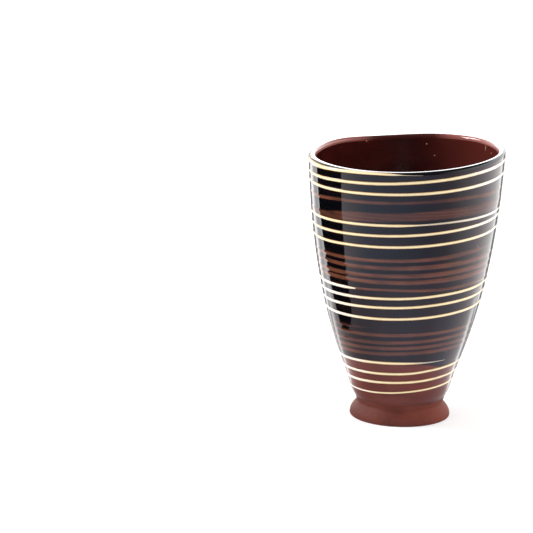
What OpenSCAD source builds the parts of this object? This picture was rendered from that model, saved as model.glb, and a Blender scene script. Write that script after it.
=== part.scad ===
// Hand-thrown pottery tumbler with a turned foot and trailed slip lines.
// Millimetres, +Z up. The origin is the centre of the foot's resting ring, on the table.
// The front is -Y. Every slip line is one spiral that sinks to the left as it goes round.

/* [Overall] */
// Height from the table to the top of the glazed lip, at the highest side of the rim
height = 124.1; // [108:0.1:140]
// Outside diameter of the clay at the lip
rim_d = 87.3; // [78:0.5:98]
// Lean of the wall at the lip, in degrees from upright
rim_lean = 3; // [1.5:0.1:6]
// Tilt of the hand-thrown rim in degrees: it rises to the right
rim_tilt = 2.5; // [0:0.1:3]

/* [Wall] */
// Height of the waist, where the wall leans out the most
waist_h = 35.6; // [28:0.1:45]
// Outside diameter of the clay at the waist
waist_d = 59; // [52:0.5:66]
// Lean of the wall at the waist, in degrees from upright
waist_lean = 17.6; // [12:0.5:25]
// Outside diameter of the neck, where the wall meets the foot
neck_d = 40.4; // [34:0.5:44]
// Lean of the wall at the neck, in degrees from upright
neck_lean = 11; // [7:0.5:18]
// Thickness of the clay at the lip
lip_wall = 2.6; // [2:0.1:3.6]
// Thickness of the clay at the bottom of the wall
base_wall = 4.2; // [3:0.1:5.5]
// Thickness of the floor over the foot
floor_t = 4.6; // [3.5:0.1:7]
// Radius of the bend from the floor into the wall
floor_bend = 9; // [6:0.5:11]

/* [Foot] */
// Outside diameter of the foot
foot_d = 45.4; // [43:0.1:52]
// Height of the neck above the table
neck_h = 6.8; // [5.5:0.1:9]
// Drop over which the flare leaves the neck
flare_top = 1.6; // [0.6:0.1:2.5]
// Rise over which the flare comes upright at the foot's edge
flare_foot = 2.7; // [1.5:0.1:3.5]
// Radius of the foot's lower edges
edge_r = 0.8; // [0.4:0.1:1.1]
// Width of the ring that the tumbler rests on
ring_w = 4; // [3:0.1:6]
// Depth of the turned recess under the foot
recess_depth = 2.8; // [1.5:0.1:3.4]
// How far the wall of the recess comes in on the way up
recess_inset = 1.5; // [0.5:0.1:3]

/* [Glaze and coats] */
// Thickness of the lining glaze, inside and over the lip
glaze_t = 0.35; // [0.2:0.05:0.6]
// Thickness of the dark slip coat with its glaze
coat_t = 0.35; // [0.2:0.05:0.6]
// Thickness of the clear glaze on the skirt
skirt_t = 0.3; // [0.2:0.05:0.5]
// Height of the skirt glaze's lower edge above the neck
skirt_stop = 2.6; // [1:0.1:6]
// Where the dark coat ends, as a ratio of the wall's height
coat_ratio = 0.205; // [0.15:0.001:0.25]

/* [Cream slip trails] */
// Width of a cream line
cream_w = 1.5; // [1:0.1:2]
// Relief of a cream line
cream_relief = 0.4; // [0.25:0.05:0.6]
// Angle round the wall over which a cream line comes to a fine point
cream_taper_angle = 50; // [20:5:70]

/* [Brown slip lines] */
// Width of a brown line
brown_w = 1.2; // [0.8:0.1:1.6]
// Relief of a brown line and of the band
brown_relief = 0.2; // [0.1:0.05:0.4]
// Angle round the wall over which a brown line comes to a fine point
brown_taper_angle = 30; // [15:5:60]
// Width of the brown band
band_w = 4.2; // [3:0.1:4.8]

/* [Rim trail] */
// Place of its first pass at the front, as a ratio of the wall's height
rim_trail_ratio = 0.976; // [0.974:0.001:0.979]
// Angle at which it starts, to the right of the front
rim_trail_start_angle = 0; // [-10:1:10]
// Turns that it runs round the wall
rim_trail_turns = 2.4; // [2:0.05:2.5]
// Drop in the turn after its first pass, as a ratio of the wall's height
rim_trail_pitch_ratio = 0.0277; // [0.026:0.0001:0.034]
// What each further turn drops more than the one before, as a ratio of the wall's height
rim_trail_growth_ratio = 0.0147; // [0.009:0.0001:0.017]

/* [Upper brown line] */
// Place of its first pass at the front, as a ratio of the wall's height
upper_line_ratio = 0.879; // [0.87:0.001:0.88]
// Angle at which it starts, to the right of the front
upper_line_start_angle = 160; // [140:1:170]
// Turns that it runs round the wall
upper_line_turns = 1.1; // [1:0.05:1.3]
// Drop in the turn after its first pass, as a ratio of the wall's height
upper_line_pitch_ratio = 0.0191; // [0.016:0.0001:0.021]

/* [Upper brown band] */
// Place of its first pass at the front, as a ratio of the wall's height
band_ratio = 0.822; // [0.82:0.001:0.827]
// Angle at which it starts, to the right of the front
band_start_angle = 160; // [140:1:170]
// Turns that it runs round the wall
band_turns = 0.9; // [0.6:0.05:0.95]

/* [Upper trail] */
// Place of its first pass at the front, as a ratio of the wall's height
upper_trail_ratio = 0.787; // [0.78:0.001:0.788]
// Angle at which it starts, to the right of the front
upper_trail_start_angle = 58; // [30:1:80]
// Turns that it runs round the wall
upper_trail_turns = 2.6; // [2:0.05:3]
// Drop in the turn after its first pass, as a ratio of the wall's height
upper_trail_pitch_ratio = 0.039; // [0.035:0.0001:0.043]
// What each further turn drops more than the one before, as a ratio of the wall's height
upper_trail_growth_ratio = 0.0056; // [0:0.0001:0.008]

/* [Middle brown lines] */
// Place of its first pass at the front, as a ratio of the wall's height
middle_lines_ratio = 0.646; // [0.64:0.001:0.66]
// Angle at which it starts, to the right of the front
middle_lines_start_angle = 54; // [30:1:80]
// Turns that it runs round the wall
middle_lines_turns = 4.2; // [3:0.05:4.3]
// Drop in the turn after its first pass, as a ratio of the wall's height
middle_lines_pitch_ratio = 0.0303; // [0.028:0.0001:0.032]

/* [Waist trail] */
// Place of its first pass at the front, as a ratio of the wall's height
waist_trail_ratio = 0.521; // [0.51:0.001:0.528]
// Angle at which it starts, to the right of the front
waist_trail_start_angle = -50; // [-70:1:-40]
// Turns that it runs round the wall
waist_trail_turns = 3.2; // [2.5:0.05:3.4]
// Drop in the turn after its first pass, as a ratio of the wall's height
waist_trail_pitch_ratio = 0.0303; // [0.028:0.0001:0.034]
// What each further turn drops more than the one before, as a ratio of the wall's height
waist_trail_growth_ratio = 0.0082; // [0.003:0.0001:0.009]

/* [Lower brown lines] */
// Place of its first pass at the front, as a ratio of the wall's height
lower_lines_ratio = 0.376; // [0.37:0.001:0.39]
// Angle at which it starts, to the right of the front
lower_lines_start_angle = -22; // [-40:1:0]
// Turns that it runs round the wall
lower_lines_turns = 4.2; // [3:0.05:4.4]
// Drop in the turn after its first pass, as a ratio of the wall's height
lower_lines_pitch_ratio = 0.0416; // [0.035:0.0001:0.043]
// What each further turn drops more than the one before, as a ratio of the wall's height
lower_lines_growth_ratio = -0.0074; // [-0.0085:0.0001:-0.0035]

/* [Base trail] */
// Place of its first pass at the front, as a ratio of the wall's height
base_trail_ratio = 0.212; // [0.2:0.001:0.22]
// Angle at which it starts, to the right of the front
base_trail_start_angle = 50; // [30:1:80]
// Turns that it runs round the wall
base_trail_turns = 3.5; // [2.5:0.05:3.8]
// Drop in the turn after its first pass, as a ratio of the wall's height
base_trail_pitch_ratio = 0.0433; // [0.038:0.0001:0.048]

/* [Hidden] */

// Colours of the fired clay, the coats and the slips
CLAY = "#7d4034";
DARK = "#22262e";
LINING = "#3c0f0c";
SKIRT = "#6b3730";
CREAM = "#f2e2b4";
BROWN = "#6e4538";

// Steps along the wall's height and round its bends
WALL_STEPS = 16;
BEND_STEPS = 12;
FACETS = 96;

// Steps in one turn of a slip line, and its least size at the fine points
TURN_STEPS = 40;
POINT = 0.15;

// Room between a slip line and the coat under it
SEAT = 0.02;

// How far the slanted wall runs on below the neck before it is cut level
UNDERCUT = 1.5;

FRONT = -90;

// The wall is drawn level, and then slants as a whole to the tilt of the rim. It turns about the wall's middle,
// so the rim is as much above its middle height on the right as it is below it on the left.
slant = tan(rim_tilt);
mid_height = height - slant * (rim_d - lip_wall) / 2;
wall_h = mid_height - neck_h;

// The wall's clay ends under the lip's glaze
clay_top = mid_height - glaze_t;
lip_h = clay_top - lip_wall / 2;
floor_h = neck_h + floor_t;
coat_low = wall_at(coat_ratio);
skirt_low = neck_h + skirt_stop;

// Height of a place on the wall, from its ratio of the wall's height
function wall_at(ratio) = neck_h + wall_h * ratio;

// Cubic from value a to value b over a span, with given slopes at its ends
function cubic(a, b, slope_a, slope_b, span, s) =
    a * (2 * pow(s, 3) - 3 * pow(s, 2) + 1)
    + b * (3 * pow(s, 2) - 2 * pow(s, 3))
    + span * slope_a * (pow(s, 3) - 2 * pow(s, 2) + s)
    + span * slope_b * (pow(s, 3) - pow(s, 2));

// Outside radius of the clay at height z: neck to waist, then waist to lip
function clay_r(z) = z < waist_h
    ? cubic(neck_d / 2, waist_d / 2, tan(neck_lean), tan(waist_lean),
            waist_h - neck_h, (z - neck_h) / (waist_h - neck_h))
    : cubic(waist_d / 2, rim_d / 2, tan(waist_lean), tan(rim_lean),
            lip_h - waist_h, (z - waist_h) / (lip_h - waist_h));

// Inside radius of the clay: the wall thins evenly from its bottom to the lip
function wall_t(z) = base_wall + (lip_wall - base_wall) * (z - neck_h) / (lip_h - neck_h);
function bore_r(z) = clay_r(z) - wall_t(z);

// Radius that a slip line sits on
function seat_r(z) = clay_r(z) + (z > coat_low ? coat_t : max(coat_t, skirt_t));

// Smooth step from 0 to 1
function ease(s) = let(t = min(1, max(0, s))) t * t * (3 - 2 * t);

// Heights of the outside's points. The clay and its coats share them, so that they lie face to face.
function steps_between(z_a, z_b, steps) = [for (i = [1:steps]) z_a + (z_b - z_a) * i / steps];
LEVELS = concat(
    [neck_h - UNDERCUT, neck_h],
    steps_between(neck_h, skirt_low, 2),
    steps_between(skirt_low, coat_low, 8),
    steps_between(coat_low, lip_h, WALL_STEPS)
);

// Points of the outside of the clay from height z_a to z_b, with a skin of thickness t
function outside(z_a, z_b, t = 0) =
    [for (z = LEVELS) if (z > z_a - 0.001 && z < z_b + 0.001) [clay_r(z) + t, z]];

// Points over the lip, from its outside to its inside, with a skin of thickness t
function lip(t = 0) =
    let(mid = clay_r(lip_h) - lip_wall / 2, r = lip_wall / 2 + t)
    [for (i = [1:BEND_STEPS - 1]) let(a = 180 * i / BEND_STEPS) [mid + r * cos(a), lip_h + r * sin(a)]];

// Points down the bore and round the bend to the middle of the floor, with a skin of thickness t
function bore(t = 0) =
    let(
        bend = floor_bend - t,
        lean = waist_lean,
        turn_h = floor_h + floor_bend * (1 - sin(lean)),
        mid_r = bore_r(turn_h) - floor_bend * cos(lean),
        mid_h = floor_h + floor_bend
    )
    concat(
        [for (i = [0:WALL_STEPS]) let(z = lip_h + (turn_h - lip_h) * i / WALL_STEPS) [bore_r(z) - t, z]],
        [for (i = [1:BEND_STEPS]) let(a = -lean - (90 - lean) * i / BEND_STEPS)
            [mid_r + bend * cos(a), mid_h + bend * sin(a)]],
        [[0, floor_h + t]]
    );

// Reverses a list of points
function back(list) = [for (i = [len(list) - 1:-1:0]) list[i]];

module revolve(points) {
    rotate_extrude($fn = FACETS) polygon(points);
}

// Slants the wall, its coats and its slip lines
module slanted() {
    multmatrix([[1, 0, 0, 0], [0, 1, 0, 0], [slant, 0, 1, 0], [0, 0, 0, 1]]) children();
}

// A slanted ring or bowl, joined from its back half and its front half
module slanted_revolve(points) {
    for (turn = [0, 180])
        slanted() rotate([0, 0, turn]) rotate_extrude(angle = 180, $fn = FACETS) polygon(points);
}

// The thrown clay: floor, wall and rounded lip
module thrown_wall() {
    color(CLAY) difference() {
        slanted_revolve(concat(
            [[0, neck_h - UNDERCUT]],
            outside(neck_h - UNDERCUT, lip_h),
            lip(),
            bore()
        ));
        // The seat on the foot is level
        translate([0, 0, neck_h - 3 * UNDERCUT]) cylinder(h = 3 * UNDERCUT, r = neck_d, $fn = FACETS);
    }
}

// The turned foot: an S-shaped flare, a resting ring and a shallow recess
module turned_foot() {
    neck_r = neck_d / 2;
    foot_r = foot_d / 2;
    ring_in = foot_r - edge_r - ring_w;
    flare = [
        for (i = [0:BEND_STEPS])
            let(
                s = i / BEND_STEPS,
                away = 3 * s * pow(1 - s, 2),
                near = 3 * pow(s, 2) * (1 - s),
                done = pow(s, 3),
                left = pow(1 - s, 3)
            )
            [(left + away) * neck_r + (near + done) * foot_r,
             left * neck_h + away * (neck_h - flare_top) + near * (edge_r + flare_foot) + done * edge_r]
    ];
    edge = [for (i = [1:4]) let(a = -90 * i / 4) [foot_r - edge_r + edge_r * cos(a), edge_r + edge_r * sin(a)]];
    recess = [
        [ring_in, 0],
        [ring_in - edge_r / 2, edge_r / 2],
        [ring_in - recess_inset, recess_depth],
        [0, recess_depth]
    ];
    color(CLAY) revolve(concat([[0, neck_h]], flare, edge, recess));
}

// The lining glaze: over the lip, down the bore and across the floor
module lining_glaze() {
    color(LINING) slanted_revolve(concat(
        [[clay_r(lip_h), lip_h]], lip(), bore(),
        back(concat([[clay_r(lip_h) + glaze_t, lip_h]], lip(glaze_t), bore(glaze_t)))
    ));
}

// A coat on the outside of the clay between two heights
module outer_coat(z_a, z_b, t) {
    slanted_revolve(concat(outside(z_a, z_b), back(outside(z_a, z_b, t))));
}

// The dark slip coat, from the base trail up to the lip
module dark_slip_coat() {
    color(DARK) outer_coat(coat_low, lip_h, coat_t);
}

// The clear glaze over the bare clay of the skirt
module skirt_glaze() {
    color(SKIRT) outer_coat(skirt_low, coat_low, skirt_t);
}

// One slip line: a bead swept down a spiral on the wall. It starts at start_angle to the right of the
// front and runs round to the left for so many turns. At the front it passes height at_h, a turn later
// it lies pitch lower, and each further turn drops by growth more. Its ends come to fine points.
module slip_line(at_h, start_angle, turns, pitch, growth, width, relief, taper_angle) {
    rings = ceil(turns * TURN_STEPS);
    turn_step = turns / rings;
    sag = 1 / cos(180 * turn_step);
    // The bead across its width: each point's place along the width and its share of the relief
    bead = [[-0.5, 0], [-0.3, 0.8], [0, 1], [0.3, 0.8], [0.5, 0]];
    sides = len(bead);
    points = [
        for (i = [0:rings])
            let(
                t = i * turn_step,
                past = t - start_angle / 360,
                z = at_h - (pitch - growth / 2) * past - growth * pow(past, 2) / 2,
                end = min(t, turns - t) * 360 / taper_angle,
                size = POINT + (1 - POINT) * ease(end),
                a = FRONT - 360 * past
            )
            for (b = bead)
                let(h = z + b[0] * width * size, r = (seat_r(h) + SEAT) * sag + b[1] * relief * size)
                [r * cos(a), r * sin(a), h]
    ];
    slanted() sweep(points, sides, rings);
}

// Closes rings of points, each with the same number of sides, into one solid
module sweep(points, sides, rings) {
    last = rings * sides;
    skin = [
        for (i = [0:rings - 1])
            for (k = [0:sides - 1])
                let(p = i * sides + k, q = i * sides + (k + 1) % sides)
                for (face = [[p, q, p + sides], [q, q + sides, p + sides]]) face
    ];
    start = [for (k = [1:sides - 2]) [0, k + 1, k]];
    finish = [for (k = [1:sides - 2]) [last, last + k, last + k + 1]];
    polyhedron(points = points, faces = concat(skin, start, finish), convexity = 10);
}

module cream_line(ratio, start_angle, turns, pitch, growth = 0) {
    color(CREAM)
        slip_line(wall_at(ratio), start_angle, turns, pitch * wall_h, growth * wall_h,
                  cream_w, cream_relief, cream_taper_angle);
}

module brown_line(ratio, start_angle, turns, pitch, growth = 0, width = brown_w) {
    color(BROWN)
        slip_line(wall_at(ratio), start_angle, turns, pitch * wall_h, growth * wall_h,
                  width, brown_relief, brown_taper_angle);
}

// The first trail leaves the lip at the front
module rim_trail() {
    cream_line(rim_trail_ratio, rim_trail_start_angle, rim_trail_turns, rim_trail_pitch_ratio, rim_trail_growth_ratio);
}

module upper_trail() {
    cream_line(upper_trail_ratio, upper_trail_start_angle, upper_trail_turns,
               upper_trail_pitch_ratio, upper_trail_growth_ratio);
}

// Starts where the middle brown lines end
module waist_trail() {
    cream_line(waist_trail_ratio, waist_trail_start_angle, waist_trail_turns,
               waist_trail_pitch_ratio, waist_trail_growth_ratio);
}

module base_trail() {
    cream_line(base_trail_ratio, base_trail_start_angle, base_trail_turns, base_trail_pitch_ratio);
}

module upper_brown_line() {
    brown_line(upper_line_ratio, upper_line_start_angle, upper_line_turns, upper_line_pitch_ratio);
}

// A flat band laid level with a broad brush, most of one turn
module upper_brown_band() {
    brown_line(band_ratio, band_start_angle, band_turns, pitch = 0, width = band_w);
}

module middle_brown_lines() {
    brown_line(middle_lines_ratio, middle_lines_start_angle, middle_lines_turns, middle_lines_pitch_ratio);
}

module lower_brown_lines() {
    brown_line(lower_lines_ratio, lower_lines_start_angle, lower_lines_turns,
               lower_lines_pitch_ratio, lower_lines_growth_ratio);
}

thrown_wall();
turned_foot();
lining_glaze();
dark_slip_coat();
skirt_glaze();
rim_trail();
upper_trail();
waist_trail();
base_trail();
upper_brown_line();
upper_brown_band();
middle_brown_lines();
lower_brown_lines();
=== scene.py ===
"""Looks of the pottery tumbler.

The shapes follow the CAD model, in finer steps, and add the uneven rim and slip lines of a hand-thrown pot.
They are worked out in millimetres and turned into metres when a mesh is made.
A place on the wall is given by its turn, counted from the front to the left, and its height.
"""

import math

import bmesh
import bpy
import numpy as np
from mathutils import Matrix, Vector


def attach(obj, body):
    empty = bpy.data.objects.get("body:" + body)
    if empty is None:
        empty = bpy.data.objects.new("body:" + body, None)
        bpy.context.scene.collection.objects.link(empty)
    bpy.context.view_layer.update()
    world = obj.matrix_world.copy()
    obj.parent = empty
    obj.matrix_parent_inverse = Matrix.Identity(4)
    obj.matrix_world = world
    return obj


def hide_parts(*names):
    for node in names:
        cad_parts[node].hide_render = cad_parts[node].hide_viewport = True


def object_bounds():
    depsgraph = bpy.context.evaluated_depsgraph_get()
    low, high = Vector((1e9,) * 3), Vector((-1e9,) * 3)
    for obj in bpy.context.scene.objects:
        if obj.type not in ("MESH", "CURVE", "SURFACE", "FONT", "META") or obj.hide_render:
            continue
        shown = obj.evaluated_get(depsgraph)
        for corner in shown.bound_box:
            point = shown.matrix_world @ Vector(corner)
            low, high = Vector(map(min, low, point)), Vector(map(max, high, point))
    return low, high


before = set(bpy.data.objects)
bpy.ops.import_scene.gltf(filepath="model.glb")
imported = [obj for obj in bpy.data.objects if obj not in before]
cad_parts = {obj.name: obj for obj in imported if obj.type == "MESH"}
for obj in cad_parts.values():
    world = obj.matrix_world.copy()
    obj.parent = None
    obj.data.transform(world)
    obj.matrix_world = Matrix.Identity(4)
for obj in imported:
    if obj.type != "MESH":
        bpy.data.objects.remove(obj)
cad_low, cad_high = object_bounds()

MM = 0.001
TOP = cad_high.z / MM

# The CAD model's sizes
NECK_H, NECK_R, NECK_LEAN = 6.8, 20.2, 11.0
WAIST_H, WAIST_R, WAIST_LEAN = 35.6, 29.5, 17.6
RIM_R, RIM_LEAN = 43.65, 3.0
LIP_WALL, BASE_WALL, FLOOR_T, FLOOR_BEND = 2.6, 4.2, 4.6, 9.0
FOOT_R, FLARE_TOP, FLARE_FOOT, EDGE_R = 22.7, 0.8, 3.4, 0.8
RING_W, RECESS_DEPTH, RECESS_INSET = 4.0, 2.8, 1.5
GLAZE_T, COAT_T, SKIRT_T, SKIRT_STOP, COAT_RATIO = 0.35, 0.35, 0.3, 2.6, 0.205

LIP_H = TOP - GLAZE_T - LIP_WALL / 2
FLOOR_H = NECK_H + FLOOR_T
COAT_LOW = NECK_H + (TOP - NECK_H) * COAT_RATIO
SKIRT_LOW = NECK_H + SKIRT_STOP

# A hand-thrown rim is never level: this one rises to the right, and dips at the front and the back
RIM_TILT, RIM_WAVE, RIM_TWIST = 0.0432, 0.49, -0.067
# The tilt sets in from this height, over this length
TILT_FROM, TILT_SPAN = 4, 16
# Swells of the rim, as (height, place round the axis, width), in millimetres and radians: two at the back right and
# one at the back left
RIM_SWELLS = [(0.55, 0.62, 0.35), (0.75, 1.15, 0.42), (0.9, 2.35, 0.38)]
# All of this stands on a rim lowered by so much, which keeps the highest point under the CAD model's top
RIM_SINK = 2.4
# The wall is drawn in over the neck, by a cut that fades out over its length, and swells a little above it
NECK_CUT, NECK_CUT_SPAN = 0.65, 6.5
NECK_SWELL, NECK_SWELL_AT, NECK_SWELL_SPAN = 0.25, 15.5, 3.0

# Steps of the meshes: round the axis, along the wall, over the lip, round the floor's bend and across the floor
SEGMENTS, WALL_STEPS, LIP_STEPS, BEND_STEPS, FLOOR_STEPS = 256, 110, 24, 20, 6
# Edges sharper than this many degrees are shaded as edges
SHARP_ANGLE = 40
# Height that one unit of the UV map stands for
UV_MM = 100.0

# Relief of a cream line, a brown line and the brown band, and how far the edges of each sink into the coat
CREAM_RELIEF, BROWN_RELIEF, BAND_RELIEF = 0.2, 0.08, 0.1
CREAM_SINK, BROWN_SINK, BAND_SINK = 0.02, 0.006, 0.01
# Depth of a line's underside below its edges
LINE_DEPTH = 0.12
# A line on the lip stops this far below the crest
CREST_GAP = 0.03

# Small marks, as (turn, height, half width in turns, half height): pale grains in the lining, lifts of the brush in
# the dark slip, and a nick above the neck
LINING_SPOTS = [(0.431, 121.8, 0.0014, 0.35), (-0.458, 119.3, 0.0016, 0.4), (-0.442, 113.9, 0.0014, 0.35),
                (-0.324, 120.5, 0.0012, 1.4), (-0.300, 119.2, 0.0014, 0.4)]
BRUSH_LIFTS = [(-0.111, 35.4, 0.004, 0.35), (-0.080, 74.9, 0.004, 0.35), (-0.140, 84.5, 0.003, 1.4)]
NECK_NICKS = [(-0.104, 9.3, 0.011, 0.28)]


# ---------------------------------------------------------------- shapes

def cubic(a, b, slope_a, slope_b, span, s):
    return (a * (2 * s**3 - 3 * s**2 + 1) + b * (3 * s**2 - 2 * s**3)
            + span * slope_a * (s**3 - 2 * s**2 + s) + span * slope_b * (s**3 - s**2))


def smooth(s):
    s = np.clip(s, 0, 1)
    return s * s * (3 - 2 * s)


def clay_r(z):
    """Outside radius of the clay wall."""
    z = np.asarray(z, float)
    neck, waist, rim = (math.tan(math.radians(a)) for a in (NECK_LEAN, WAIST_LEAN, RIM_LEAN))
    low = cubic(NECK_R, WAIST_R, neck, waist, WAIST_H - NECK_H, (z - NECK_H) / (WAIST_H - NECK_H))
    high = cubic(WAIST_R, RIM_R, waist, rim, LIP_H - WAIST_H, (z - WAIST_H) / (LIP_H - WAIST_H))
    swell = NECK_SWELL * np.exp(-((z - NECK_SWELL_AT) / NECK_SWELL_SPAN)**2)
    cut = NECK_CUT * (1 - smooth((z - NECK_H) / NECK_CUT_SPAN))
    return np.where(z < WAIST_H, low + (swell - cut), high)


def bore_r(z):
    return clay_r(z) - (BASE_WALL + (LIP_WALL - BASE_WALL) * (z - NECK_H) / (LIP_H - NECK_H))


def outside(z_a, z_b, t, steps=WALL_STEPS):
    z = np.linspace(z_a, z_b, steps + 1)
    return np.c_[clay_r(z) + t, z]


def lip(t):
    a = np.linspace(0, math.pi, LIP_STEPS + 1)[1:-1]
    mid, r = clay_r(LIP_H) - LIP_WALL / 2, LIP_WALL / 2 + t
    return np.c_[mid + r * np.cos(a), LIP_H + r * np.sin(a)]


def bore(t):
    """Down the bore, round the bend and to the middle of the floor."""
    lean = math.radians(WAIST_LEAN)
    turn_h = FLOOR_H + FLOOR_BEND * (1 - math.sin(lean))
    z = np.linspace(LIP_H, turn_h, WALL_STEPS + 1)
    side = np.c_[bore_r(z) - t, z]
    a = -lean - (math.pi / 2 - lean) * np.arange(1, BEND_STEPS + 1) / BEND_STEPS
    mid_r, bend = float(bore_r(turn_h)) - FLOOR_BEND * math.cos(lean), FLOOR_BEND - t
    turn = np.c_[mid_r + bend * np.cos(a), FLOOR_H + FLOOR_BEND + bend * np.sin(a)]
    flat = np.c_[np.linspace(turn[-1, 0], 0, FLOOR_STEPS + 1)[1:], np.full(FLOOR_STEPS, FLOOR_H + t)]
    return np.concatenate([side, turn, flat])


def foot_profile():
    """Down the flare, round the outer edge, over the resting ring and into the recess."""
    s = np.linspace(0, 1, 25)
    away, near = 3 * s * (1 - s)**2, 3 * s**2 * (1 - s)
    neck_r = float(clay_r(NECK_H))
    flare = np.c_[((1 - s)**3 + away) * neck_r + (near + s**3) * FOOT_R,
                  (1 - s)**3 * NECK_H + away * (NECK_H - FLARE_TOP) + near * (EDGE_R + FLARE_FOOT) + s**3 * EDGE_R]
    a = -np.pi / 2 * np.arange(1, 9) / 8
    edge = np.c_[FOOT_R - EDGE_R + EDGE_R * np.cos(a), EDGE_R + EDGE_R * np.sin(a)]
    ring_in = FOOT_R - EDGE_R - RING_W
    recess = np.array([[ring_in, 0], [ring_in - EDGE_R / 2, EDGE_R / 4], [ring_in - EDGE_R * 0.8, EDGE_R],
                       [ring_in - RECESS_INSET, RECESS_DEPTH - 0.3], [ring_in - RECESS_INSET - 0.4, RECESS_DEPTH],
                       [8.0, RECESS_DEPTH], [0, RECESS_DEPTH]])
    return np.concatenate([flare, edge, recess])


def warped(points):
    """Tilts and waves the rings above the foot."""
    x, y, z = points[:, 0], points[:, 1], points[:, 2]
    rise = np.clip((z - NECK_H) / (TOP - NECK_H), 0, 1)
    angle = np.arctan2(y, x)
    wave = rise**3 * (RIM_WAVE * np.cos(2 * angle) + RIM_TWIST * np.sin(2 * angle)
                      + sum(up * np.exp(-((angle - at) / wide)**2) for up, at, wide in RIM_SWELLS))
    tilt = RIM_TILT * x * smooth((z - TILT_FROM) / TILT_SPAN)
    return np.c_[x, y, z - RIM_SINK * rise + tilt + wave]


def angle_at(turn):
    """The angle round the axis, in radians, of a place given by its turn."""
    return np.radians(-90 - 360 * turn)


def add(name, data):
    """Puts an object that holds the data into the scene."""
    thing = bpy.data.objects.new(name, data)
    bpy.context.scene.collection.objects.link(thing)
    return thing


def build(name, points, uv, faces):
    """A closed mesh from points in millimetres and one UV for each corner of a face."""
    mesh = bpy.data.meshes.new(name)
    mesh.from_pydata((warped(points) * MM).tolist(), [], faces)
    layer = mesh.uv_layers.new(name="UVMap")
    layer.data.foreach_set("uv", np.array(uv, np.float32).ravel())
    bm = bmesh.new()
    bm.from_mesh(mesh)
    bmesh.ops.recalc_face_normals(bm, faces=bm.faces)
    bm.to_mesh(mesh)
    bm.free()
    mesh.shade_smooth()
    mesh.set_sharp_from_angle(angle=math.radians(SHARP_ANGLE))
    return add(name, mesh)


def revolve(name, profile):
    """Turns a closed profile of (radius, height) round the axis. A point on the axis becomes one vertex."""
    turns = np.linspace(-0.5, 0.5, SEGMENTS + 1)
    angle = angle_at(turns[:-1])
    poles = [r < 1e-6 for r, _ in profile]
    points, rings = [], []
    for (r, z), pole in zip(profile, poles):
        if pole:
            rings.append([len(points)] * SEGMENTS)
            points.append((0, 0, z))
        else:
            rings.append(list(range(len(points), len(points) + SEGMENTS)))
            points.extend(zip(r * np.cos(angle), r * np.sin(angle), [z] * SEGMENTS))
    faces, uv = [], []
    count = len(profile)
    for i in range(count):
        k = (i + 1) % count
        a, b = rings[i], rings[k]
        if poles[i] and poles[k]:
            continue
        za, zb = profile[i][1] / UV_MM, profile[k][1] / UV_MM
        for j in range(SEGMENTS):
            n = (j + 1) % SEGMENTS
            u, v = turns[j], turns[j + 1]
            if poles[i]:
                faces.append((a[0], b[j], b[n]))
                uv += [(u, za), (u, zb), (v, zb)]
            elif poles[k]:
                faces.append((a[j], b[0], a[n]))
                uv += [(u, za), (u, zb), (v, za)]
            else:
                faces.append((a[j], b[j], b[n], a[n]))
                uv += [(u, za), (u, zb), (v, zb), (v, za)]
    return build(name, np.array(points, float), uv, faces)


def spline(marks, t):
    """A smooth curve through marks of (turn, value, value, ...), straight past its ends, with one column for each
    value."""
    m = np.array(marks, float)
    x, columns = m[:, 0], []
    for y in m[:, 1:].T:
        step = np.diff(y) / np.diff(x)
        inner = np.where(step[:-1] * step[1:] > 0,
                         2 * step[:-1] * step[1:] / np.where(step[:-1] + step[1:] == 0, 1, step[:-1] + step[1:]), 0)
        slope = np.r_[step[0], inner, step[-1]]
        i = np.clip(np.searchsorted(x, t) - 1, 0, len(x) - 2)
        span = x[i + 1] - x[i]
        s = (t - x[i]) / span
        inside = cubic(y[i], y[i + 1], slope[i], slope[i + 1], span, np.clip(s, 0, 1))
        columns.append(inside + np.where(s < 0, (t - x[i]) * slope[i], 0)
                       + np.where(s > 1, (t - x[i + 1]) * slope[i + 1], 0))
    return columns


def wall_r(z):
    """Outside radius with the coat, also over the shoulder of the lip."""
    lip_r = LIP_WALL / 2 + GLAZE_T
    over = np.clip(z - LIP_H, 0, lip_r - CREST_GAP)
    shoulder = clay_r(LIP_H) - LIP_WALL / 2 + np.sqrt(lip_r**2 - over**2)
    return np.where(z < LIP_H, clay_r(np.minimum(z, LIP_H)) + COAT_T, shoulder)


def slip_line(name, path, sizes, relief, bead, sink):
    """A bead of slip laid along the wall. path gives (turn, height), sizes gives (turn, width, share of relief and
    of body), and bead is the relief's shape across the width, from edge to edge."""
    t = np.arange(path[0][0], path[-1][0], 1 / SEGMENTS)
    t = np.r_[t, path[-1][0]] if path[-1][0] - t[-1] > 1e-4 else t
    height, = spline(path, t)
    width, share = spline(sizes, t)
    across = np.linspace(-0.5, 0.5, len(bead))
    section = [(s, r) for s, r in zip(across, bead)] + [(0.5, None), (-0.5, None)]
    points, angle = [], angle_at(t)
    for n in range(len(t)):
        for s, r in section:
            z = height[n] + s * width[n]
            lift = -sink - LINE_DEPTH if r is None else r * relief * share[n] - sink
            radius = float(wall_r(z)) + lift
            points.append((radius * math.cos(angle[n]), radius * math.sin(angle[n]), z))
    sides, faces, uv = len(section), [], []
    place = [s + 0.5 for s, _ in section]
    for n in range(len(t) - 1):
        for k in range(sides):
            m = (k + 1) % sides
            p, q = n * sides, (n + 1) * sides
            faces.append((p + k, p + m, q + m, q + k))
            uv += [(t[n], place[k]), (t[n], place[m]), (t[n + 1], place[m]), (t[n + 1], place[k])]
    for p, turn in ((0, t[0]), ((len(t) - 1) * sides, t[-1])):
        faces.append(tuple(range(p, p + sides)))
        uv += [(turn, v) for v in place]
    piece = build(name, np.array(points), uv, faces)
    body = piece.data.attributes.new("body", "FLOAT", "POINT")
    body.data.foreach_set("value", np.repeat(np.clip(share, 0, 1), sides).astype(np.float32))
    return piece


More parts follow.
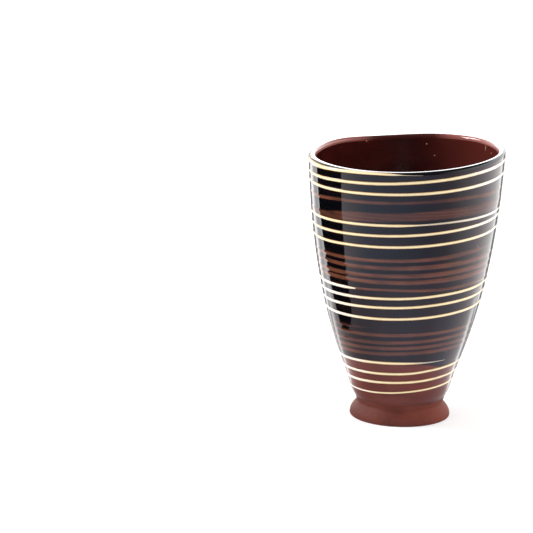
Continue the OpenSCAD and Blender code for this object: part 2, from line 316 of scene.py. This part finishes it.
# ---------------------------------------------------------------- shader nodes

class Graph:
    """Adds shader nodes to one material or world, and links them as they are named."""

    def __init__(self, owner):
        owner.use_nodes = True
        self.tree = owner.node_tree
        self.tree.nodes.clear()

    def node(self, kind, inputs=None, out=0, **settings):
        n = self.tree.nodes.new("ShaderNode" + kind)
        for key, value in settings.items():
            setattr(n, key, value)
        for key, value in (inputs or {}).items():
            if isinstance(value, bpy.types.NodeSocket):
                self.tree.links.new(value, n.inputs[key])
            else:
                n.inputs[key].default_value = value
        return n.outputs[out] if n.outputs else n

    def math(self, operation, a, b=0.0):
        return self.node("Math", {0: a, 1: b}, operation=operation)

    def range(self, value, low, high, to_low=0.0, to_high=1.0, kind="SMOOTHSTEP"):
        return self.node("MapRange", {0: value, 1: low, 2: high, 3: to_low, 4: to_high}, interpolation_type=kind)

    def mix(self, factor, a, b):
        a, b = (x if isinstance(x, bpy.types.NodeSocket) else (*x, 1.0) for x in (a, b))
        return self.node("Mix", {0: factor, 6: a, 7: b}, out=2, data_type="RGBA")

    def ramp(self, value, stops, kind="EASE"):
        """A colour ramp through (place, colour) stops."""
        n = self.tree.nodes.new("ShaderNodeValToRGB")
        ramp = n.color_ramp
        ramp.interpolation = kind
        while len(ramp.elements) < len(stops):
            ramp.elements.new(1.0)
        for element, (place, colour) in zip(ramp.elements, stops):
            element.position, element.color = place, (*colour, 1.0)
        self.tree.links.new(value, n.inputs[0])
        return n.outputs[0]

    def own(self):
        """The object's own coordinates."""
        return self.node("TexCoord", out=3)

    def place(self, x=1.0, y=1.0, z=1.0):
        """The object's own coordinates, stretched."""
        return self.node("Mapping", {0: self.own(), 3: (x, y, z)})

    def level(self):
        """The object's own coordinates with the height left out."""
        return self.node("VectorMath", {0: self.own(), 1: (1, 1, 0)}, operation="MULTIPLY")

    def xyz(self, vector):
        return self.node("SeparateXYZ", {0: vector}).node.outputs

    def way_round(self, x, y):
        """The way round the object: 0 and 1 at the back, 0.25 at the left, 0.5 at the front, 0.75 at the right."""
        turn = self.math("DIVIDE", self.math("ARCTAN2", x, self.math("MULTIPLY", y, -1.0)), 2 * math.pi)
        return self.math("ADD", turn, 0.5)

    def noise(self, vector, scale, detail=3.0, rough=0.55):
        return self.node("TexNoise", {"Vector": vector, "Scale": scale, "Detail": detail, "Roughness": rough})

    def shake(self, noise, size):
        """The noise as a shift to either side of 0."""
        return self.math("MULTIPLY", self.math("SUBTRACT", noise, 0.5), size)

    def dots(self, vector, scale, size, chance):
        """1 inside small round spots, 0 between them."""
        cells = self.node("TexVoronoi", {"Vector": vector, "Scale": scale}).node.outputs
        near = self.range(cells["Distance"], size, size * 0.4)
        red = self.node("SeparateColor", {0: cells["Color"]})
        return self.math("MULTIPLY", near, self.math("LESS_THAN", red, chance))

    def spot(self, turn, height, at_turn, at_z, half_turn, half_z):
        """1 inside one small oval on the wall, 0 round it."""
        across = self.math("DIVIDE", self.math("SUBTRACT", turn, at_turn), half_turn)
        up = self.math("DIVIDE", self.math("SUBTRACT", self.math("MULTIPLY", height, UV_MM), at_z), half_z)
        far = self.math("ADD", self.math("MULTIPLY", across, across), self.math("MULTIPLY", up, up))
        return self.range(far, 1.2, 0.4)

    def marks(self, colour, spots, tint, share):
        """The colour with small oval marks on it."""
        turn, height = self.uv()
        for spot in spots:
            colour = self.mix(self.math("MULTIPLY", self.spot(turn, height, *spot), share), colour, tint)
        return colour

    def uv(self):
        """The turn and the height of a place on the wall. On a slip line, the turn and the way across."""
        u, v, _ = self.xyz(self.node("UVMap", uv_map="UVMap"))
        return u, v

    def bump(self, height, distance, normal=None, strength=1.0):
        inputs = {"Strength": strength, "Distance": distance, "Height": height}
        if normal is not None:
            inputs["Normal"] = normal
        return self.node("Bump", inputs)

    def surface(self, colour, roughness, ior, normal=None, specular=0.5):
        inputs = {"Base Color": colour, "Roughness": roughness, "IOR": ior, "Specular IOR Level": specular}
        if normal is not None:
            inputs["Normal"] = normal
        self.output(self.node("BsdfPrincipled", inputs))

    def output(self, shader, kind="OutputMaterial"):
        self.node(kind, {"Surface": shader})


def material(name):
    m = bpy.data.materials.new(name)
    return m, Graph(m)


def scaled(colour, by):
    return tuple(c * by for c in colour)


def grey(value):
    return (value,) * 3


GLAZE_IOR, CLAY_IOR = 1.55, 1.5
# Colours, in linear values
WHITE = (1, 1, 1, 1)
BLACK_SLIP = (0.0022, 0.0022, 0.0035)
BLACK_THIN = (0.0065, 0.0035, 0.0035)
BARE_CLAY = (0.148, 0.034, 0.022)
RED_SKIRT = (0.132, 0.030, 0.019)


def glaze_normal(g, rings=0.5):
    """The soft waves of a poured glaze and the faint rings of throwing under it."""
    waves = g.bump(g.noise(g.place(), 130.0, 2.0), 0.00003)
    fine = g.bump(g.noise(g.place(), 700.0, 1.0), 0.000002, waves)
    return g.bump(g.noise(g.place(12.0, 12.0, 420.0), 1.0, 1.0), 0.00001, fine, rings)


def coat_and_skirt(g):
    """The dark slip above its edge and the red clay under clear glaze below it. The edge runs along the base trail
    and fades where the trail starts."""
    turn, height = g.uv()
    # From the trail's start at the front (0) to the left, round the back, and to the front again (1)
    t = g.math("FRACT", g.math("ADD", turn, 1.0))
    z = g.math("MULTIPLY", height, UV_MM)
    # The edge sinks with the trail, and rises back to the trail's start on the last stretch
    along = g.range(t, 0.0, 0.86, 31.85, 27.3, "LINEAR")
    back_up = g.range(t, 0.86, 1.0, 0.0, 1.0)
    edge = g.math("ADD", along, g.math("MULTIPLY", back_up, 4.4))
    soft = g.range(t, 0.84, 0.95, 0.12, 0.7)
    soft = g.math("ADD", soft, g.range(t, 0.0, 0.05, 0.5, 0.0))
    wander = g.shake(g.noise(g.place(), 110.0), soft)
    above = g.math("SUBTRACT", g.math("ADD", z, wander), edge)
    dark = g.range(g.math("DIVIDE", above, soft), -1.0, 1.0)
    streaks = g.noise(g.place(9.0, 9.0, 330.0), 1.0, 4.0)
    slip = g.mix(g.range(streaks, 0.45, 0.75), BLACK_SLIP, BLACK_THIN)
    slip = g.marks(slip, BRUSH_LIFTS, (0.10, 0.085, 0.09), 0.6)
    clouds = g.noise(g.place(1, 1, 3), 60.0, 4.0)
    red = g.mix(g.range(clouds, 0.35, 0.7), scaled(RED_SKIRT, 0.86), scaled(RED_SKIRT, 1.15))
    red = g.mix(g.range(streaks, 0.5, 0.8, 0.0, 0.35), red, scaled(RED_SKIRT, 0.55))
    red = g.mix(g.math("MULTIPLY", g.dots(g.place(), 900.0, 0.22, 0.25), 0.5), red, (0.03, 0.008, 0.006))
    return g.mix(dark, red, slip)


def coat_material():
    m, g = material("dark_slip_under_glaze")
    rough = g.range(g.noise(g.place(), 90.0), 0.3, 0.7, 0.035, 0.06)
    g.surface(coat_and_skirt(g), rough, GLAZE_IOR, glaze_normal(g))
    return m


def skirt_material():
    m, g = material("red_clay_under_glaze")
    # The glaze thins out towards its lower edge
    _, height = g.uv()
    rough = g.range(height, 9.4 / UV_MM, 12.5 / UV_MM, 0.4, 0.06)
    grain = g.bump(g.noise(g.place(), 1500.0, 3.0), 0.000004, glaze_normal(g))
    g.surface(coat_and_skirt(g), rough, GLAZE_IOR, grain)
    return m


def lining_material():
    m, g = material("maroon_lining_glaze")
    _, height = g.uv()
    x, _, _ = g.xyz(g.own())
    axis = g.node("VectorMath", {0: g.level()}, out=1, operation="LENGTH")
    # The middle of the lip's crest lies this far from the axis
    mid = (float(clay_r(LIP_H)) - LIP_WALL / 2) * MM
    clouds = g.noise(g.place(1, 1, 2.5), 45.0, 4.0)
    red = g.mix(g.range(clouds, 0.3, 0.75), (0.030, 0.0042, 0.0036), (0.058, 0.0085, 0.0065))
    # Painted light makes the lining a lighter red on the right, and painted shade makes it darker at the far left
    red = g.mix(g.range(x, 0.002, 0.038), red, (0.088, 0.017, 0.013))
    red = g.mix(g.range(x, -0.026, -0.040, 0.0, 0.45), red, (0.012, 0.002, 0.002))
    # Over the lip's inner edge the glaze breaks to a paler red where it runs thin, and painted light makes it much
    # paler on the left and right sides
    side = g.math("MULTIPLY", g.math("ABSOLUTE", x), 1 / (RIM_R * MM))
    side = g.math("ADD", side, g.shake(clouds, 0.2))
    lip_break_and_painted_light = g.ramp(side, [(0.0, (0.05, 0.007, 0.006)), (0.31, (0.06, 0.010, 0.008)), (0.50, (0.26, 0.075, 0.065)),
                         (0.78, (0.36, 0.13, 0.11)), (1.0, (0.50, 0.25, 0.23))], "LINEAR")
    red = g.mix(g.range(height, (LIP_H - 0.7) / UV_MM, (LIP_H - 0.2) / UV_MM), red, lip_break_and_painted_light)
    # The dark coat shows through over the outer half of the lip
    red = g.mix(g.range(axis, mid - 0.9 * MM, mid - 0.1 * MM), red, BLACK_SLIP)
    specks = g.dots(g.place(), 150.0, 0.09, 0.22)
    red = g.mix(g.math("MULTIPLY", specks, 0.35), red, (0.42, 0.27, 0.20))
    red = g.marks(red, LINING_SPOTS, (0.50, 0.30, 0.22), 0.8)
    rough = g.range(g.noise(g.place(), 80.0), 0.3, 0.7, 0.05, 0.09)
    rough = g.math("ADD", rough, g.range(axis, mid - 1.6 * MM, mid - 2.4 * MM, 0.0, 0.06))
    g.surface(red, rough, GLAZE_IOR, glaze_normal(g, 1.0))
    return m


def clay_material():
    m, g = material("bare_terracotta")
    clouds = g.noise(g.place(), 70.0, 5.0)
    grain = g.noise(g.place(), 1600.0, 3.0, 0.7)
    turning = g.noise(g.place(14.0, 14.0, 1300.0), 1.0, 3.0)
    colour = g.mix(g.range(clouds, 0.3, 0.7), scaled(BARE_CLAY, 0.82), scaled(BARE_CLAY, 1.2))
    colour = g.mix(g.range(turning, 0.45, 0.75, 0.0, 0.35), colour, scaled(BARE_CLAY, 0.62))
    colour = g.mix(g.math("MULTIPLY", g.dots(g.place(), 700.0, 0.25, 0.2), 0.5), colour, (0.26, 0.12, 0.08))
    colour = g.mix(g.math("MULTIPLY", g.dots(g.place(1.7, 1.7, 1.7), 700.0, 0.2, 0.15), 0.6), colour,
                   (0.035, 0.012, 0.01))
    colour = g.marks(colour, NECK_NICKS, (0.02, 0.008, 0.006), 0.75)
    normal = g.bump(grain, 0.00003, g.bump(turning, 0.00007))
    g.surface(colour, g.range(grain, 0.3, 0.7, 0.6, 0.75), CLAY_IOR, normal, 0.25)
    return m


def across(g, noise_scale, unevenness):
    """How far a point lies from a line's middle, 0 in the middle and 1 at the edges, unevenly."""
    _, v = g.uv()
    side = g.math("ABSOLUTE", g.math("SUBTRACT", g.math("MULTIPLY", v, 2.0), 1.0))
    return g.math("ADD", side, g.shake(g.noise(g.place(), noise_scale, 3.0), unevenness))


def slip_body(g):
    """The share of its full body that a slip line has at a place."""
    return g.node("Attribute", out=2, attribute_name="body")


def cream_material():
    m, g = material("cream_slip")
    side = across(g, 260.0, 0.25)
    colour = g.ramp(side, [(0.0, (0.97, 0.85, 0.55)), (0.42, (0.93, 0.78, 0.46)), (0.72, (0.64, 0.40, 0.19)),
                           (0.95, (0.16, 0.055, 0.025)), (1.0, (0.06, 0.02, 0.012))])
    colour = g.mix(g.range(slip_body(g), 0.75, 0.2, 0.0, 0.75), colour, (0.36, 0.33, 0.33))
    # Painted sheen: the slip is paler at the upper right and the lower left, standing in for light glancing off it
    # there
    to_right, _, _ = g.xyz(g.node("VectorMath", {0: g.level()}, operation="NORMALIZE"))
    _, _, z = g.xyz(g.own())
    upper = g.range(z, 0.070, 0.095, -1.0, 1.0)
    painted_sheen = g.range(g.math("MULTIPLY", to_right, upper), 0.35, 0.95, 0.0, 0.8)
    colour = g.mix(g.math("MULTIPLY", painted_sheen, g.range(side, 0.95, 0.75)), colour, (0.95, 0.90, 0.84))
    g.surface(colour, 0.09, GLAZE_IOR, g.bump(g.noise(g.place(), 420.0, 2.0), 0.00003))
    return m


def brown_material(name, core, soft_from, soft_to, streaky, colour=(0.165, 0.056, 0.030)):
    """A brown slip that fades out sideways into the dark coat under it."""
    m, g = material(name)
    hairs = g.noise(g.place(6.0, 6.0, 1500.0), 1.0, 3.0)
    strength = g.range(across(g, 180.0, 0.3), soft_from, soft_to, core, 0.0)
    strength = g.math("MULTIPLY", strength, g.range(slip_body(g), 0.0, 0.9))
    strength = g.math("MULTIPLY", strength, g.range(hairs, 0.35, 0.65, 1.0 - streaky, 1.0))
    strength = g.math("MULTIPLY", strength, g.range(g.noise(g.place(1, 1, 2), 55.0, 2.0), 0.36, 0.6, 0.6, 1.0))
    g.surface(g.mix(strength, BLACK_SLIP, colour), 0.05, GLAZE_IOR, glaze_normal(g))
    return m


# ---------------------------------------------------------------- pieces

def dress(piece, look, node):
    piece.data.materials.append(look)
    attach(piece, "root")
    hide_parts(node)


def on_axis(z):
    return np.array([[0.0, z]])


clay = clay_material()
wall = np.concatenate([on_axis(NECK_H), outside(NECK_H, LIP_H, 0), lip(0), bore(0)])
dress(revolve("thrown_wall_clay", wall), clay, "thrown_wall")

foot = np.concatenate([on_axis(NECK_H), foot_profile()])
dress(revolve("turned_foot_clay", foot), clay, "turned_foot")

inner = np.concatenate([[[float(clay_r(LIP_H)), LIP_H]], lip(0), bore(0)])
outer = np.concatenate([[[float(clay_r(LIP_H)) + GLAZE_T, LIP_H]], lip(GLAZE_T), bore(GLAZE_T)])
dress(revolve("lining_glaze_skin", np.concatenate([inner, outer[::-1]])), lining_material(),
      "lining_glaze")

coat = np.concatenate([outside(COAT_LOW, LIP_H, 0), outside(COAT_LOW, LIP_H, COAT_T)[::-1]])
dress(revolve("dark_coat_skin", coat), coat_material(), "dark_slip_coat")

# The skirt's glaze runs out to a thin edge above the neck, and meets the dark coat flush
THIN_EDGE = 0.03
skin = outside(SKIRT_LOW, COAT_LOW, 0, 30)
thick = skin.copy()
thick[:, 0] += (THIN_EDGE + (SKIRT_T - THIN_EDGE) * smooth((skin[:, 1] - SKIRT_LOW) / 2.2)
                + (COAT_T - SKIRT_T) * smooth((skin[:, 1] - 14) / 8))
dress(revolve("skirt_glaze_skin", np.concatenate([skin, thick[::-1]])), skirt_material(),
      "skirt_glaze")

cream = cream_material()
brown = brown_material("brown_slip", 1.0, 0.30, 0.95, 0.25)
band = brown_material("brown_band_slip", 0.85, 0.62, 1.02, 0.45, (0.125, 0.042, 0.024))

# Shapes of a slip line's relief, from edge to edge
ROUND = [0.0, 0.55, 0.86, 1.0, 1.0, 1.0, 0.86, 0.55, 0.0]
SOFT = [0.0, 0.12, 0.42, 0.8, 1.0, 0.8, 0.42, 0.12, 0.0]
FLAT = [0.0, 0.45, 0.85, 1.0, 1.0, 1.0, 0.85, 0.45, 0.0]

RIM_TRAIL = [(-0.02, 122.6), (0.006, 122.9), (0.03, 123.2), (0.06, 123.32), (0.1, 123.15), (0.13, 122.78),
             (0.18, 122.3), (0.5, 121.1), (0.875, 120.15), (0.93, 119.75), (1.0, 119.3), (1.05, 118.8), (1.1, 118.4),
             (1.17, 117.6), (1.5, 115.6), (1.872, 114.3), (1.95, 114.08), (2.05, 113.9), (2.145, 113.4), (2.4, 112.4)]
dress(slip_line("rim_trail_slip", RIM_TRAIL,
                [(-0.02, 0.15, 0.1), (0.01, 0.35, 0.4), (0.03, 1.1, 0.6), (0.06, 1.25, 0.8), (0.1, 1.5, 1),
                 (0.14, 1.6, 1), (0.2, 2.3, 1), (0.24, 2.5, 1), (0.3, 1.7, 1), (2.3, 1.5, 1), (2.4, 0.2, 0.1)],
                CREAM_RELIEF, ROUND, CREAM_SINK),
      cream, "rim_trail")

UPPER_TRAIL = [(-0.3, 98.3), (-0.22, 98.6), (-0.137, 98.9), (-0.052, 99.42), (0.05, 99.36), (0.149, 98.9),
               (0.5, 97.3), (0.861, 95.54), (0.927, 95.1), (0.997, 94.65), (1.083, 94.25), (1.151, 93.79),
               (1.5, 91.8), (1.856, 89.85), (1.925, 89.55), (2.0, 89.2), (2.104, 88.97), (2.153, 88.6), (2.45, 87.2)]
dress(slip_line("upper_trail_slip", UPPER_TRAIL,
                [(-0.3, 0.2, 0.05), (-0.22, 1.0, 0.25), (-0.14, 1.3, 0.4), (-0.06, 1.0, 0.4), (-0.02, 0.9, 0.5),
                 (0.02, 1.5, 1), (2.35, 1.5, 1), (2.45, 0.2, 0.1)], CREAM_RELIEF, ROUND, CREAM_SINK),
      cream, "upper_trail")

WAIST_TRAIL = [(0.1, 68.12), (0.13, 68.0), (0.18, 67.85), (0.5, 66.6), (0.859, 64.95), (0.934, 64.7),
               (0.993, 64.35), (1.05, 64.22), (1.114, 64.0), (1.175, 63.7), (1.5, 62.2), (1.852, 60.56),
               (1.93, 60.3), (1.995, 59.92), (2.071, 59.75), (2.145, 59.4), (2.5, 57.2), (2.842, 55.0),
               (2.92, 54.6), (2.99, 54.26), (3.073, 54.16), (3.16, 54.1), (3.3, 53.7)]
dress(slip_line("waist_trail_slip", WAIST_TRAIL,
                [(0.1, 0.7, 0.6), (0.125, 1.5, 1), (3.2, 1.5, 1), (3.3, 0.2, 0.1)],
                CREAM_RELIEF, ROUND, CREAM_SINK),
      cream, "waist_trail")

BASE_TRAIL = [(-0.13, 31.1), (-0.07, 31.3), (0.008, 31.75), (0.059, 31.83), (0.153, 31.6), (0.5, 29.6),
              (0.852, 27.3), (0.924, 26.88), (0.98, 26.3), (1.04, 26.18), (1.169, 26.1), (1.5, 24.2),
              (1.88, 22.3), (1.96, 21.82), (2.03, 21.62), (2.135, 21.35), (2.5, 19.5), (2.867, 17.6),
              (2.95, 17.03), (3.05, 16.2), (3.105, 15.9), (3.16, 15.85), (3.3, 15.5)]
dress(slip_line("base_trail_slip", BASE_TRAIL,
                [(-0.13, 0.2, 0.05), (-0.06, 0.8, 0.3), (0.03, 1.5, 1), (2.4, 1.5, 1), (2.9, 1.1, 0.8),
                 (3.2, 1.0, 0.7), (3.3, 0.2, 0.1)], CREAM_RELIEF, ROUND, CREAM_SINK),
      cream, "base_trail")

UPPER_LINE = [(-0.45, 107.9), (-0.167, 108.6), (-0.096, 109.75), (-0.02, 110.02), (0.055, 109.85),
              (0.119, 109.5), (0.19, 108.2), (0.5, 107.2)]
dress(slip_line("upper_brown_line_slip", UPPER_LINE,
                [(-0.45, 1.0, 0.0), (-0.3, 3.4, 0.5), (-0.1, 2.8, 0.5), (0.0, 2.1, 0.5), (0.12, 2.3, 0.75),
                 (0.4, 2.6, 0.8), (0.5, 1.0, 0.0)], BROWN_RELIEF, SOFT, BROWN_SINK),
      brown, "upper_brown_line")

BAND = [(-0.45, 102.0), (-0.17, 102.75), (-0.098, 103.45), (-0.046, 103.65), (0.003, 103.35), (0.092, 102.7),
        (0.124, 102.0), (0.184, 100.3), (0.44, 99.9)]
dress(slip_line("upper_brown_band_slip", BAND,
                [(-0.45, 2.0, 0.1), (-0.3, 5.0, 0.8), (-0.1, 5.6, 0.9), (0.0, 4.7, 1), (0.1, 5.0, 1),
                 (0.184, 4.0, 1), (0.35, 3.6, 0.9), (0.44, 1.5, 0.1)], BAND_RELIEF, FLAT, BAND_SINK),
      band, "upper_brown_band")

MIDDLE_LINES = [(-0.2, 83.5), (-0.12, 83.42), (-0.06, 82.8), (0.02, 82.58), (0.106, 82.4), (0.5, 80.7),
                (0.845, 79.1), (0.95, 79.02), (1.047, 79.05), (1.12, 79.0), (1.5, 77.2), (1.871, 75.3),
                (1.96, 75.22), (2.048, 75.32), (2.12, 75.05), (2.5, 73.4), (2.85, 72.0), (3.0, 72.12),
                (3.11, 72.3), (3.5, 69.8), (3.826, 67.7), (3.913, 67.45), (3.98, 68.05), (4.04, 68.55),
                (4.107, 68.2)]
dress(slip_line("middle_brown_lines_slip", MIDDLE_LINES,
                [(-0.2, 1.0, 0.0), (-0.12, 3.2, 0.65), (0.02, 2.4, 0.8), (0.5, 2.7, 0.9), (0.88, 3.4, 0.85),
                 (1.1, 2.7, 0.95), (1.5, 2.8, 1), (1.88, 3.4, 0.85), (2.1, 2.8, 1), (2.5, 2.8, 1), (2.88, 3.3, 0.9),
                 (3.1, 2.8, 1), (3.5, 2.8, 1), (3.9, 2.2, 0.8), (4.09, 1.6, 0.9), (4.107, 1.4, 0.8)],
                BROWN_RELIEF, SOFT, BROWN_SINK),
      brown, "middle_brown_lines")

LOWER_LINES = [(0.06, 49.75), (0.155, 48.75), (0.5, 47.4), (0.861, 46.05), (1.01, 46.08), (1.1, 45.85),
               (1.165, 45.7), (1.5, 44.3), (1.86, 42.8), (2.0, 42.4), (2.173, 41.85), (2.5, 40.8), (2.87, 39.65),
               (3.0, 39.5), (3.139, 38.95), (3.5, 37.9), (3.88, 36.95), (3.985, 36.82), (4.144, 36.1), (4.35, 35.6)]
dress(slip_line("lower_brown_lines_slip", LOWER_LINES,
                [(0.06, 1.0, 0.0), (0.12, 2.2, 0.35), (0.6, 2.6, 0.64), (4.25, 2.6, 0.7), (4.35, 1.0, 0.0)],
                BROWN_RELIEF, SOFT, BROWN_SINK),
      brown, "lower_brown_lines")


# ---------------------------------------------------------------- studio

# Strength of white in the patterns that only reflections see
GLOW = 4.0
TABLE_SIZE = 12.0
# A hair below the foot, so that the two faces don't coincide
TABLE_DROP = 0.02
# The card's place on the table, in metres, and its profile as (height, radius) in millimetres
CARD_X, CARD_Y = -0.122, 0.003
CARD_PROFILE, CARD_SIDES = [(0.0, 34.0), (30.0, 36.0), (60.0, 39.0), (100.0, 43.0), (124.0, 45.0)], 96
# A lamp's energy is its brightness times its area times this
LAMP_GAIN = 4


def stage_mesh(name, points, faces, look):
    mesh = bpy.data.meshes.new(name)
    mesh.from_pydata(points, [], faces)
    mesh.materials.append(look)
    thing = add(name, mesh)
    return thing


def table_material():
    """White to the camera, with the object's soft shadow. Reflections see a ring of light and dark on it."""
    m, g = material("white_table")
    rays = g.node("LightPath").node.outputs
    x, y, _ = g.xyz(g.node("NewGeometry"))
    turn = g.way_round(x, y)
    far = g.math("SQRT", g.math("ADD", g.math("MULTIPLY", x, x), g.math("MULTIPLY", y, y)))
    # Close by, the dark end behind the object reaches a little further round
    wide = g.range(far, 0.2, 0.5, 1.035, 0.985, "LINEAR")
    spread = g.math("ADD", g.math("MULTIPLY", g.math("SUBTRACT", turn, 0.5), wide), 0.5)
    behind = grey(0.105)
    glow = g.ramp(spread, [(0.0, behind), (0.068, behind), (0.079, grey(0.75)), (0.098, grey(0.75)),
                           (0.11, (0.44, 0.43, 0.44)), (0.128, (0.42, 0.41, 0.42)), (0.145, grey(0.70)),
                           (0.28, (0.33, 0.31, 0.33)), (0.365, (0.18, 0.20, 0.26)), (0.5, (0.14, 0.152, 0.205)),
                           (0.575, (0.12, 0.117, 0.16)), (0.64, (0.16, 0.14, 0.165)), (0.69, (0.275, 0.255, 0.28)),
                           (0.79, (0.51, 0.46, 0.485)), (0.83, (0.60, 0.56, 0.56)), (0.885, grey(0.62)),
                           (0.897, grey(0.72)), (0.902, grey(0.70)), (0.912, behind), (1.0, behind)], "LINEAR")
    # Round the foot
    close = g.ramp(turn, [(0.0, grey(0.28)), (0.085, grey(0.34)), (0.10, grey(0.36)), (0.115, grey(0.26)),
                          (0.128, grey(0.28)), (0.138, grey(0.72)), (0.153, grey(0.68)),
                          (0.172, (0.36, 0.34, 0.34)), (0.225, (0.26, 0.21, 0.21)),
                          (0.28, (0.165, 0.135, 0.15)), (0.34, (0.155, 0.135, 0.155)), (0.42, (0.20, 0.185, 0.225)),
                          (0.5, (0.205, 0.20, 0.255)), (0.60, (0.205, 0.18, 0.22)), (0.68, (0.265, 0.255, 0.30)),
                          (0.78, (0.40, 0.37, 0.39)), (0.815, (0.47, 0.46, 0.46)), (0.832, (0.80, 0.79, 0.79)),
                          (0.850, grey(0.74)), (0.864, grey(0.20)), (1.0, grey(0.165))], "LINEAR")
    # Darker still at the foot
    close = g.node("VectorMath", {0: close, 3: g.range(far, 0.036, 0.056, 0.5, 1.0)}, operation="SCALE")
    glow = g.mix(g.range(far, 0.115, 0.18), close, glow)
    mirrored = g.node("Emission", {0: glow, 1: GLOW})
    plain = g.node("BsdfDiffuse", {0: (0.8, 0.8, 0.8, 1)})
    seen = g.node("AddShader", {0: g.node("BsdfDiffuse", {0: (0.7, 0.7, 0.7, 1)}),
                                1: g.node("Emission", {0: WHITE, 1: 0.35})})
    shader = g.node("MixShader", {0: rays["Is Camera Ray"], 1: plain, 2: seen})
    gloss = g.math("MAXIMUM", rays["Is Glossy Ray"], rays["Is Transmission Ray"])
    g.output(g.node("MixShader", {0: gloss, 1: shader, 2: mirrored}))
    return m


half = TABLE_SIZE / 2
table = stage_mesh("table_top", [(-half, -half, 0), (half, -half, 0), (half, half, 0), (-half, half, 0)],
                   [(0, 1, 2, 3)], table_material())
table.location.z = -TABLE_DROP * MM


def dark_flag():
    """A black card bent to a cone, at the left of the object. Only reflections see it."""
    m, g = material("black_card")
    g.output(g.node("Emission", {0: (0, 0, 0, 1), 1: 0.0}))
    n, turns = CARD_SIDES, [2 * math.pi * j / CARD_SIDES for j in range(CARD_SIDES)]
    points = [(r * MM * math.cos(a) + CARD_X, r * MM * math.sin(a) + CARD_Y, z * MM)
              for z, r in CARD_PROFILE for a in turns]
    faces = [(i * n + j, i * n + (j + 1) % n, (i + 1) * n + (j + 1) % n, (i + 1) * n + j)
             for i in range(len(CARD_PROFILE) - 1) for j in range(n)]
    flag = stage_mesh("dark_flag", points, faces, m)
    flag.visible_camera = flag.visible_diffuse = flag.visible_shadow = flag.visible_transmission = False


dark_flag()


def softbox(name, place, aim, width, height, brightness, diffuse=True, glossy=True):
    light = bpy.data.lights.new(name, "AREA")
    light.shape, light.size, light.size_y = "RECTANGLE", width, height
    light.energy = brightness * LAMP_GAIN * width * height
    lamp = add(name, light)
    lamp.location = place
    lamp.rotation_euler = (Vector(place) - Vector(aim)).to_track_quat("Z", "Y").to_euler()
    lamp.visible_camera, lamp.visible_diffuse, lamp.visible_glossy = False, diffuse, glossy


softbox("key_left", (-0.86, 0.16, 0.56), (0, 0, 0.07), 0.42, 0.42, 12.0)
softbox("key_right", (0.88, 0.14, 0.60), (0, 0, 0.07), 0.38, 0.38, 10.0, glossy=False)
softbox("back_panel", (-0.13, 1.25, 1.0), (0, 0, 0.12), 1.0, 1.3, 6.5, diffuse=False)

world = bpy.data.worlds.new("studio")
bpy.context.scene.world = world
g = Graph(world)
rays = g.node("LightPath").node.outputs
fill = g.node("Background", {0: WHITE, 1: 0.85})
# Polished surfaces mirror tall pale screens at the sides and the back
x, y, z = g.xyz(g.node("TexCoord"))
screens = g.ramp(g.way_round(x, y), [(0.0, grey(0.55)), (0.05, grey(0.55)), (0.075, grey(0.40)), (0.13, grey(0.36)),
                                     (0.19, grey(0.10)), (0.27, grey(0.015)), (0.60, grey(0.015)),
                                     (0.74, grey(0.50)), (0.85, grey(0.57)), (0.93, grey(0.60)),
                                     (1.0, grey(0.55))], "LINEAR")
screens = g.mix(g.range(z, 0.48, 0.68), screens, grey(0.03))
sky = g.node("Background", {0: screens, 1: GLOW})
white = g.node("Background", {0: WHITE, 1: 1.0})
shader = g.node("MixShader", {0: rays["Is Glossy Ray"], 1: fill, 2: sky})
g.output(g.node("MixShader", {0: rays["Is Camera Ray"], 1: shader, 2: white}), "OutputWorld")

# The camera that was fitted to the photograph: its place in metres, its angles in degrees and its lens in pixels
CAMERA_AT, PITCH, ROLL = (-0.06185, -1.43078, 0.41093), 13.492, 1.101
FOCAL_PX, WIDTH_PX, SENSOR_MM = 3262.0, 533, 36.0
camera_data = bpy.data.cameras.new("camera")
camera_data.sensor_width = SENSOR_MM
camera_data.lens = FOCAL_PX / WIDTH_PX * SENSOR_MM
camera_data.clip_start, camera_data.clip_end = 0.05, 30
camera = add("camera", camera_data)
camera.matrix_world = (Matrix.Translation(CAMERA_AT) @ Matrix.Rotation(math.radians(90 - PITCH), 4, "X")
                       @ Matrix.Rotation(math.radians(ROLL), 4, "Z"))
bpy.context.scene.camera = camera

bpy.context.scene.view_settings.view_transform = "Standard"
